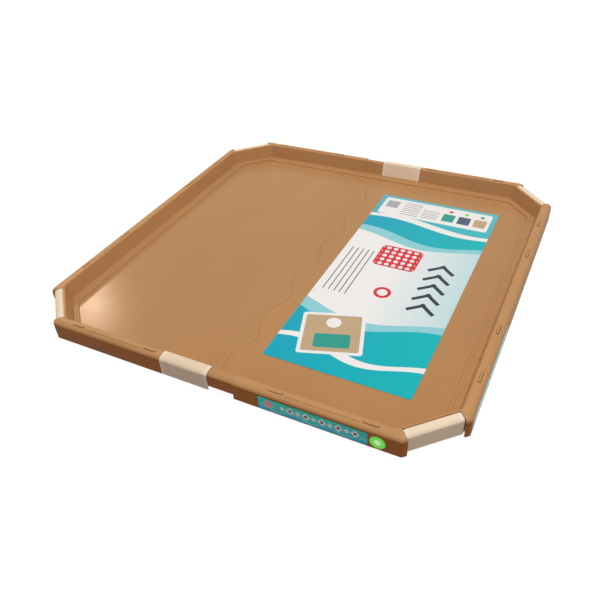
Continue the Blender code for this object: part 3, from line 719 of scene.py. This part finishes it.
def pale_plastic(settings, name, colour, from_end):
    """Finish of a bar with paler bands at its ends, a painted highlight, from a function for the distance to
    the nearer end.
    """
    def bands(tree):
        """Mask of the bands' painted highlight."""
        edge = settings.highlight_band
        return ramp(tree, from_end(tree), edge - PRINT_BLUR, edge + PRINT_BLUR, 1, 0)

    return plastic(name, colour, PALE_ROUGHNESS, settings.grain, zones=((bands, settings.pale_end_highlight, 0),))


def clip_plastic(settings):
    """Finish of the sliding clips, which lie equally far from the middle on either side of the seam."""
    low, high = (corner.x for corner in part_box("back_clip"))

    def from_end(tree):
        """Distance to the nearer end of a clip."""
        across = maths(tree, "ABSOLUTE", object_place(tree).outputs["X"])
        ends = (maths(tree, "SUBTRACT", across, low), maths(tree, "SUBTRACT", high, across))
        return maths(tree, "MINIMUM", *ends)

    return pale_plastic(settings, "pale_clip_plastic", settings.pale, from_end)


def latch_plastic(settings, half_length):
    """Finish of the corner latches, whose middles lie on the diagonals."""
    def from_end(tree):
        """Distance to the nearer end of a latch."""
        place = object_place(tree)
        sums = [maths(tree, "ABSOLUTE", maths(tree, sign, place.outputs["X"], place.outputs["Y"]))
                for sign in ("ADD", "SUBTRACT")]
        along = maths(tree, "MULTIPLY", maths(tree, "MINIMUM", *sums), 1 / math.sqrt(2))
        return maths(tree, "SUBTRACT", half_length, along)

    return pale_plastic(settings, "pale_latch_plastic", shade_share(settings.pale, LATCH_TONE), from_end)


def clear_names():
    """Free the finishes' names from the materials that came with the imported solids."""
    for material in bpy.data.materials:
        material.name = "packed_" + material.name


class PADHOLDER_OT_pans(Operator):
    """Build both pan halves with soft moulded edges."""

    bl_idname = "pad_holder.pans"
    bl_label = "Pan halves"

    def execute(self, context):
        settings = context.scene.pad_moulding
        for side in ("left", "right"):
            piece = soft_copy(f"{side}_tray", f"{side}_pan_half")
            soften(piece, settings.edge_round)
            settle(piece, f"{side}_tray", tan_plastic(settings))
        return {"FINISHED"}


def round_flange(piece, settings):
    """Bring the flange's under face down, round its inner edge and raise a border round its top."""
    levels = sorted({round(point.co.z, LEVEL_DIGITS) for point in piece.data.vertices})
    under, edge_top, wall_foot = levels[:3]
    pick(piece, "VERT", lambda point: abs(point.co.z - under) < ON_FACE)
    bpy.ops.transform.translate(value=(0, 0, -settings.flange_drop))
    object_mode()
    points = piece.data.vertices
    pick(piece, "EDGE", lambda edge: all(abs(points[i].co.z - edge_top) < ON_FACE for i in edge.vertices))
    bpy.ops.mesh.bevel(offset=settings.flange_round, segments=FLANGE_SEGMENTS, affect="EDGES")
    pick(piece, "FACE", lambda face: edge_top < face.center.z < wall_foot and face.normal.z > FLANGE_LEVEL)
    bpy.ops.mesh.inset(thickness=settings.bead_width)
    bpy.ops.mesh.inset(thickness=settings.bead_height, depth=-settings.bead_height)
    object_mode()


class PADHOLDER_OT_frames(Operator):
    """Build both rim frame halves with soft moulded edges."""

    bl_idname = "pad_holder.frames"
    bl_label = "Rim frame halves"

    def execute(self, context):
        settings = context.scene.pad_moulding
        for side in ("left", "right"):
            piece = soft_copy(f"{side}_frame", f"{side}_rim_half")
            round_flange(piece, settings)
            soften(piece, settings.edge_round)
            settle(piece, f"{side}_frame", tan_plastic(settings))
        return {"FINISHED"}


def slope_ends(piece, axis, depth, length):
    """Slope both ends of a bar down to a smaller end face, over a band of some length."""
    places = [point.co.dot(axis) for point in piece.data.vertices]
    for way, end in ((-1, min(places)), (1, max(places))):
        pick(piece, "FACE", lambda face: face.normal.dot(axis) * way > SQUARE
             and abs(face.center.dot(axis) - end) < ON_FACE)
        bpy.ops.mesh.inset(thickness=depth, use_boundary=True)
        object_mode()
        inner = {i for face in piece.data.polygons if face.select for i in face.vertices}
        pick(piece, "VERT", lambda point: abs(point.co.dot(axis) - end) < ON_FACE
             and point.index not in inner)
        bpy.ops.transform.translate(value=-way * length * axis)
        object_mode()


class PADHOLDER_OT_clips(Operator):
    """Build the sliding clips of the front and the back rim."""

    bl_idname = "pad_holder.clips"
    bl_label = "Sliding clips"

    def execute(self, context):
        settings = context.scene.pad_moulding
        finish = clip_plastic(settings)
        for side in ("front", "back"):
            piece = soft_copy(f"{side}_clip", f"{side}_sliding_clip")
            slope_ends(piece, Vector((1, 0, 0)), settings.clip_band, settings.band_length)
            soften(piece, settings.edge_round / 2)
            settle(piece, f"{side}_clip", finish)
        return {"FINISHED"}


class PADHOLDER_OT_latches(Operator):
    """Build the four hinged corner latches."""

    bl_idname = "pad_holder.latches"
    bl_label = "Corner latches"

    def execute(self, context):
        settings = context.scene.pad_moulding
        finish = None
        for corner, rise in CORNERS.items():
            along = Vector((1, rise, 0)).normalized()
            piece = soft_copy(f"{corner}_latch", f"{corner}_corner_latch")
            slope_ends(piece, along, settings.latch_band, settings.band_length)
            soften(piece, settings.edge_round)
            if finish is None:
                finish = latch_plastic(settings, max(point.co.dot(along) for point in piece.data.vertices))
            settle(piece, f"{corner}_latch", finish)
        return {"FINISHED"}


def place_here(name):
    """Name the primitive that was just added, and move its place into its mesh."""
    piece = bpy.context.active_object
    piece.name = name
    take(piece)
    bpy.ops.object.transform_apply(location=True, rotation=True, scale=True)
    return piece


def bar_between(name, radius, start, end, sides):
    """Round bar from one point to another."""
    line = end - start
    turn = line.to_track_quat("Z", "Y").to_euler()
    bpy.ops.object.select_all(action="DESELECT")
    bpy.ops.mesh.primitive_cylinder_add(vertices=sides, radius=radius, depth=line.length,
                                        end_fill_type="NGON", location=(start + end) / 2, rotation=turn)
    return place_here(name)


class PADHOLDER_OT_pins(Operator):
    """Build the four hinge pins of the latches."""

    bl_idname = "pad_holder.pins"
    bl_label = "Hinge pins"

    def execute(self, context):
        settings = context.scene.pad_moulding
        finish = plastic("pin_plastic", settings.pin, PIN_ROUGHNESS, settings.grain)
        for corner, rise in CORNERS.items():
            low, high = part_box(f"{corner}_pin")
            radius = (high.z - low.z) / 2
            inset = radius / math.sqrt(2)
            middle = (low.z + high.z) / 2
            start_y, end_y = (low.y + inset, high.y - inset)[::rise]
            start = Vector((low.x + inset, start_y, middle))
            end = Vector((high.x - inset, end_y, middle))
            piece = bar_between(f"{corner}_hinge_pin", radius, start, end, PIN_SIDES)
            soften(piece, radius * PIN_ROUND)
            settle(piece, f"{corner}_pin", finish)
        return {"FINISHED"}


class PADHOLDER_OT_feet(Operator):
    """Build the eight rubber feet, each a disc with a dished underside."""

    bl_idname = "pad_holder.feet"
    bl_label = "Rubber feet"

    def execute(self, context):
        finish = rubber("foot_rubber", context.scene.pad_moulding.rubber)
        for node in (name for name in frame["nodes"] if "_foot_" in name):
            low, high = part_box(node)
            radius = (high.x - low.x) / 2
            height = high.z - low.z
            middle = (low + high) / 2
            bottom = Vector((middle.x, middle.y, low.z))
            top = Vector((middle.x, middle.y, high.z))
            piece = bar_between(node.replace("_foot_", "_rubber_foot_"), radius, bottom, top, FOOT_SIDES)
            pick(piece, "FACE", lambda face: face.normal.z < -SQUARE)
            bpy.ops.mesh.inset(thickness=radius * FOOT_RING)
            bpy.ops.mesh.inset(thickness=radius * FOOT_SLOPE)
            bpy.ops.transform.translate(value=(0, 0, height * FOOT_DISH))
            bpy.ops.mesh.inset(thickness=radius * FOOT_PLATE)
            object_mode()
            soften(piece, height * FOOT_ROUND)
            settle(piece, node, finish)
        return {"FINISHED"}


def sheet_label(name, box, corner):
    """Thin printed sheet that fills a box, with round corners and a faintly rounded edge."""
    low, high = box
    size = high - low
    thin = min(range(3), key=lambda axis: size[axis])
    bpy.ops.object.select_all(action="DESELECT")
    bpy.ops.mesh.primitive_cube_add(size=1, location=(low + high) / 2, scale=size)
    piece = place_here(name)

    def through(edge):
        """Whether an edge runs through the sheet's thickness."""
        start, end = (piece.data.vertices[i].co for i in edge.vertices)
        return abs((end - start).normalized()[thin]) > SQUARE

    pick(piece, "EDGE", through)
    bpy.ops.mesh.bevel(offset=corner, segments=CORNER_SEGMENTS, affect="EDGES")
    object_mode()
    soften(piece, size[thin] * SHEET_ROUND, 1)
    return piece


class PADHOLDER_OT_floor_card(Operator):
    """Build the printed card that lies on the pan's floor."""

    bl_idname = "pad_holder.floor_card"
    bl_label = "Floor card"

    def execute(self, context):
        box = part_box("floor_label")
        piece = sheet_label("printed_floor_card", box, LABEL_CORNER)
        settle(piece, "floor_label", card_print(context.scene.pad_print, box))
        return {"FINISHED"}


class PADHOLDER_OT_strips(Operator):
    """Build the printed strips of the front and the right skirt."""

    bl_idname = "pad_holder.strips"
    bl_label = "Strip labels"

    def execute(self, context):
        for side, across in (("front", "X"), ("side", "Y")):
            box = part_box(f"{side}_label")
            piece = sheet_label(f"printed_{side}_strip", box, STRIP_CORNER)
            finish = strip_print(context.scene.pad_print, f"{side}_strip_print", across, box)
            settle(piece, f"{side}_label", finish)
        return {"FINISHED"}


class PADHOLDER_OT_sticker(Operator):
    """Build the round green sticker."""

    bl_idname = "pad_holder.sticker"
    bl_label = "Round sticker"

    def execute(self, context):
        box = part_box("round_sticker")
        low, high = box
        middle = (low + high) / 2
        front = Vector((middle.x, low.y, middle.z))
        back = Vector((middle.x, high.y, middle.z))
        piece = bar_between("green_round_sticker", (high.x - low.x) / 2, back, front, STICKER_SIDES)
        soften(piece, (high.y - low.y) * SHEET_ROUND)
        settle(piece, "round_sticker", sticker_print(context.scene.pad_print, box))
        return {"FINISHED"}


def camera_place(settings):
    """Place of the camera: where it stands and which way it looks."""
    azimuth, elevation, roll = settings.azimuth, settings.elevation, settings.roll
    back = Vector((math.sin(azimuth) * math.cos(elevation), -math.cos(azimuth) * math.cos(elevation),
                   math.sin(elevation)))
    level = Vector((math.cos(azimuth), math.sin(azimuth), 0))
    upright = back.cross(level)
    right = math.cos(roll) * level + math.sin(roll) * upright
    up = math.cos(roll) * upright - math.sin(roll) * level
    place = Matrix((right, up, back)).transposed().to_4x4()
    place.translation = (back * settings.distance + Vector((*settings.aim, 0))) * SPAN
    return place


def add_lamp(name, place, aim, size, power, colour):
    """Square soft lamp that shines at a point."""
    bpy.ops.object.select_all(action="DESELECT")
    turn = (aim - place).to_track_quat("-Z", "Y").to_euler()
    bpy.ops.object.light_add(type="AREA", location=place, rotation=turn)
    lamp = bpy.context.active_object
    lamp.name = name
    lamp.data.shape = "SQUARE"
    lamp.data.size = size
    lamp.data.energy = power
    lamp.data.color = colour


def looked_at(tree):
    """Whether a ray comes from the camera, straight, by a mirror or through glass."""
    path = tree.nodes.new("ShaderNodeLightPath")
    bent = maths(tree, "MAXIMUM", path.outputs["Is Glossy Ray"], path.outputs["Is Transmission Ray"])
    return maths(tree, "MAXIMUM", path.outputs["Is Camera Ray"], bent)


def add_floor(settings):
    """Pale floor under the feet, white to the camera but for the holder's shadow."""
    bpy.ops.object.select_all(action="DESELECT")
    bpy.ops.mesh.primitive_plane_add(size=FLOOR_WIDTH)
    floor = bpy.context.active_object
    floor.name = "studio_floor"
    material, tree, shader = new_material("studio_floor")
    shader.inputs["Base Color"].default_value = (*FLOOR_COLOUR, 1)
    shader.inputs["Roughness"].default_value = 1.0
    shader.inputs["Specular IOR Level"].default_value = 0.0
    glow = tree.nodes.new("ShaderNodeEmission")
    glow.inputs["Color"].default_value = (*WHITE, 1)
    tree.links.new(maths(tree, "MULTIPLY", looked_at(tree), settings.floor_glow), glow.inputs["Strength"])
    joined = tree.nodes.new("ShaderNodeAddShader")
    tree.links.new(shader.outputs["BSDF"], joined.inputs[0])
    tree.links.new(glow.outputs["Emission"], joined.inputs[1])
    tree.links.new(joined.outputs["Shader"], tree.nodes["Material Output"].inputs["Surface"])
    floor.data.materials.append(material)


def add_lamps(settings, eye):
    """Key lamp above the right half, a weak fill at the front, and a lamp mirrored in the left corner."""
    for name, (place, size, colour), power in (("key_lamp", KEY_LAMP, settings.key_power),
                                               ("fill_lamp", FILL_LAMP, settings.fill_power)):
        add_lamp(name, Vector(place), Vector((0, 0, 0)), size, power, colour)
    spot = Vector(GLOSS_SPOT)
    ray = spot - eye
    mirrored = Vector((ray.x, ray.y, -ray.z)).normalized()
    distance, size, colour = GLOSS_LAMP
    add_lamp("gloss_lamp", spot + distance * mirrored, spot, size, settings.gloss_power, colour)


def add_sky(scene, settings):
    """Plain sky: white to the camera, and a soft light from all round."""
    world = bpy.data.worlds.new("studio_sky")
    scene.world = world
    world.use_nodes = True
    tree = world.node_tree
    background = tree.nodes["Background"]
    seen = looked_at(tree)
    strength = maths(tree, "MULTIPLY_ADD", seen, 1 - settings.sky, settings.sky)
    tree.links.new(mixed(tree, seen, SKY_COLOUR, WHITE), background.inputs["Color"])
    tree.links.new(strength, background.inputs["Strength"])


class PADHOLDER_OT_stage(Operator):
    """Build the pale floor, the soft lamps, the sky and the camera."""

    bl_idname = "pad_holder.stage"
    bl_label = "Stage"

    def execute(self, context):
        settings = context.scene.pad_stage
        bpy.ops.object.select_all(action="DESELECT")
        bpy.ops.object.camera_add()
        camera = bpy.context.active_object
        camera.matrix_world = camera_place(settings)
        camera.data.sensor_width = SENSOR_WIDTH
        camera.data.lens = settings.lens
        context.scene.camera = camera
        add_floor(settings)
        add_lamps(settings, camera.matrix_world.translation)
        add_sky(context.scene, settings)
        context.scene.view_settings.view_transform = "Standard"
        return {"FINISHED"}


class PADHOLDER_PT_sidebar(Panel):
    """Settings of the training pad holder, and the buttons that build its pieces."""

    bl_idname = "PADHOLDER_PT_sidebar"
    bl_label = "Training pad holder"
    bl_space_type = "VIEW_3D"
    bl_region_type = "UI"
    bl_category = "Pad holder"

    def draw(self, context):
        for group in (context.scene.pad_moulding, context.scene.pad_print, context.scene.pad_stage):
            box = self.layout.box()
            for name in group.__annotations__:
                box.prop(group, name)
        for operator in BUILDERS:
            self.layout.operator(operator.bl_idname)


BUILDERS = (PADHOLDER_OT_pans, PADHOLDER_OT_frames, PADHOLDER_OT_clips, PADHOLDER_OT_latches,
            PADHOLDER_OT_pins, PADHOLDER_OT_feet, PADHOLDER_OT_floor_card, PADHOLDER_OT_strips,
            PADHOLDER_OT_sticker, PADHOLDER_OT_stage)
GROUPS = {"pad_moulding": MouldingSettings, "pad_print": PrintSettings, "pad_stage": StageSettings}


def register():
    """Register the settings, the operators and the panel."""
    for group in GROUPS.values():
        bpy.utils.register_class(group)
    for name, group in GROUPS.items():
        setattr(bpy.types.Scene, name, PointerProperty(type=group))
    for operator in (*BUILDERS, PADHOLDER_PT_sidebar):
        bpy.utils.register_class(operator)


def unregister():
    """Take back all that register added."""
    for operator in (PADHOLDER_PT_sidebar, *reversed(BUILDERS)):
        bpy.utils.unregister_class(operator)
    for name, group in GROUPS.items():
        delattr(bpy.types.Scene, name)
        bpy.utils.unregister_class(group)


def main():
    """Build every piece and the stage."""
    register()
    clear_names()
    bpy.ops.pad_holder.pans()
    bpy.ops.pad_holder.frames()
    bpy.ops.pad_holder.clips()
    bpy.ops.pad_holder.latches()
    bpy.ops.pad_holder.pins()
    bpy.ops.pad_holder.feet()
    bpy.ops.pad_holder.floor_card()
    bpy.ops.pad_holder.strips()
    bpy.ops.pad_holder.sticker()
    bpy.ops.pad_holder.stage()


if __name__ == "__main__":
    main()
